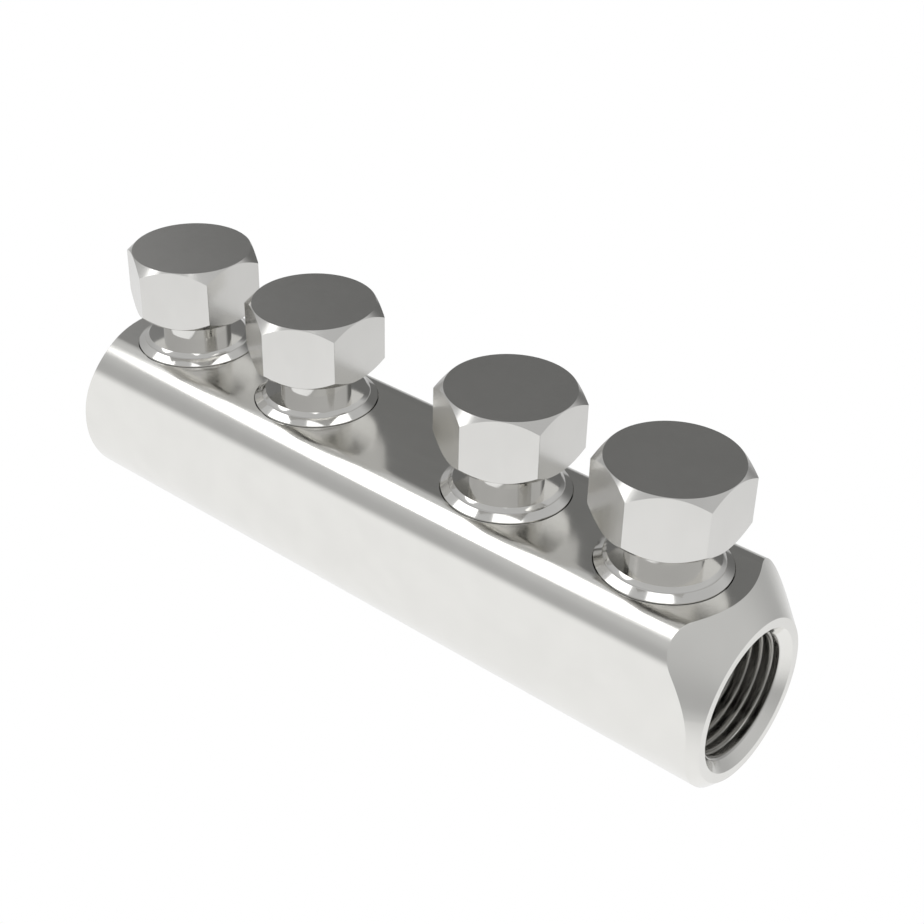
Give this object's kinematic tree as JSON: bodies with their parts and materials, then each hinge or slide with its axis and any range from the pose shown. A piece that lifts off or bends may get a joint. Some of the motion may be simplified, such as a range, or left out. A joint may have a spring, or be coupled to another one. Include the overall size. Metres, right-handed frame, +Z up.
{
  "type": "mechanical cable joint",
  "caption": "Straight bolted cable joint: a round-bellied metal bar with a blind bore in each end and hexagon shear-head bolts that clamp the stranded conductors from above.",
  "frame": {"origin": "under the middle of the body, level with the lowest line of its round underside", "axes": "+X along the cable bores, +Y to the back side, +Z up along the bolts"},
  "size_m": [0.091, 0.02, 0.0335],
  "materials": {
    "tinned_body": "machined aluminium alloy with bright tin plating",
    "tinned_bolt": "turned brass with bright tin plating"
  },
  "bodies": {
    "connector": {"connector_body": "tinned_body"},
    "bolt_1": {"shear_bolt_1": "tinned_bolt"},
    "bolt_2": {"shear_bolt_2": "tinned_bolt"},
    "bolt_3": {"shear_bolt_3": "tinned_bolt"},
    "bolt_4": {"shear_bolt_4": "tinned_bolt"}
  },
  "joints": [
    {"name": "bolt_1_travel", "type": "slide", "parent": "connector", "child": "bolt_1", "axis": [0, 0, 1], "range_m": [-0.0045, 0.003]},
    {"name": "bolt_2_travel", "type": "slide", "parent": "connector", "child": "bolt_2", "axis": [0, 0, 1], "range_m": [-0.0045, 0.003]},
    {"name": "bolt_3_travel", "type": "slide", "parent": "connector", "child": "bolt_3", "axis": [0, 0, 1], "range_m": [-0.0045, 0.003]},
    {"name": "bolt_4_travel", "type": "slide", "parent": "connector", "child": "bolt_4", "axis": [0, 0, 1], "range_m": [-0.0045, 0.003]}
  ]
}
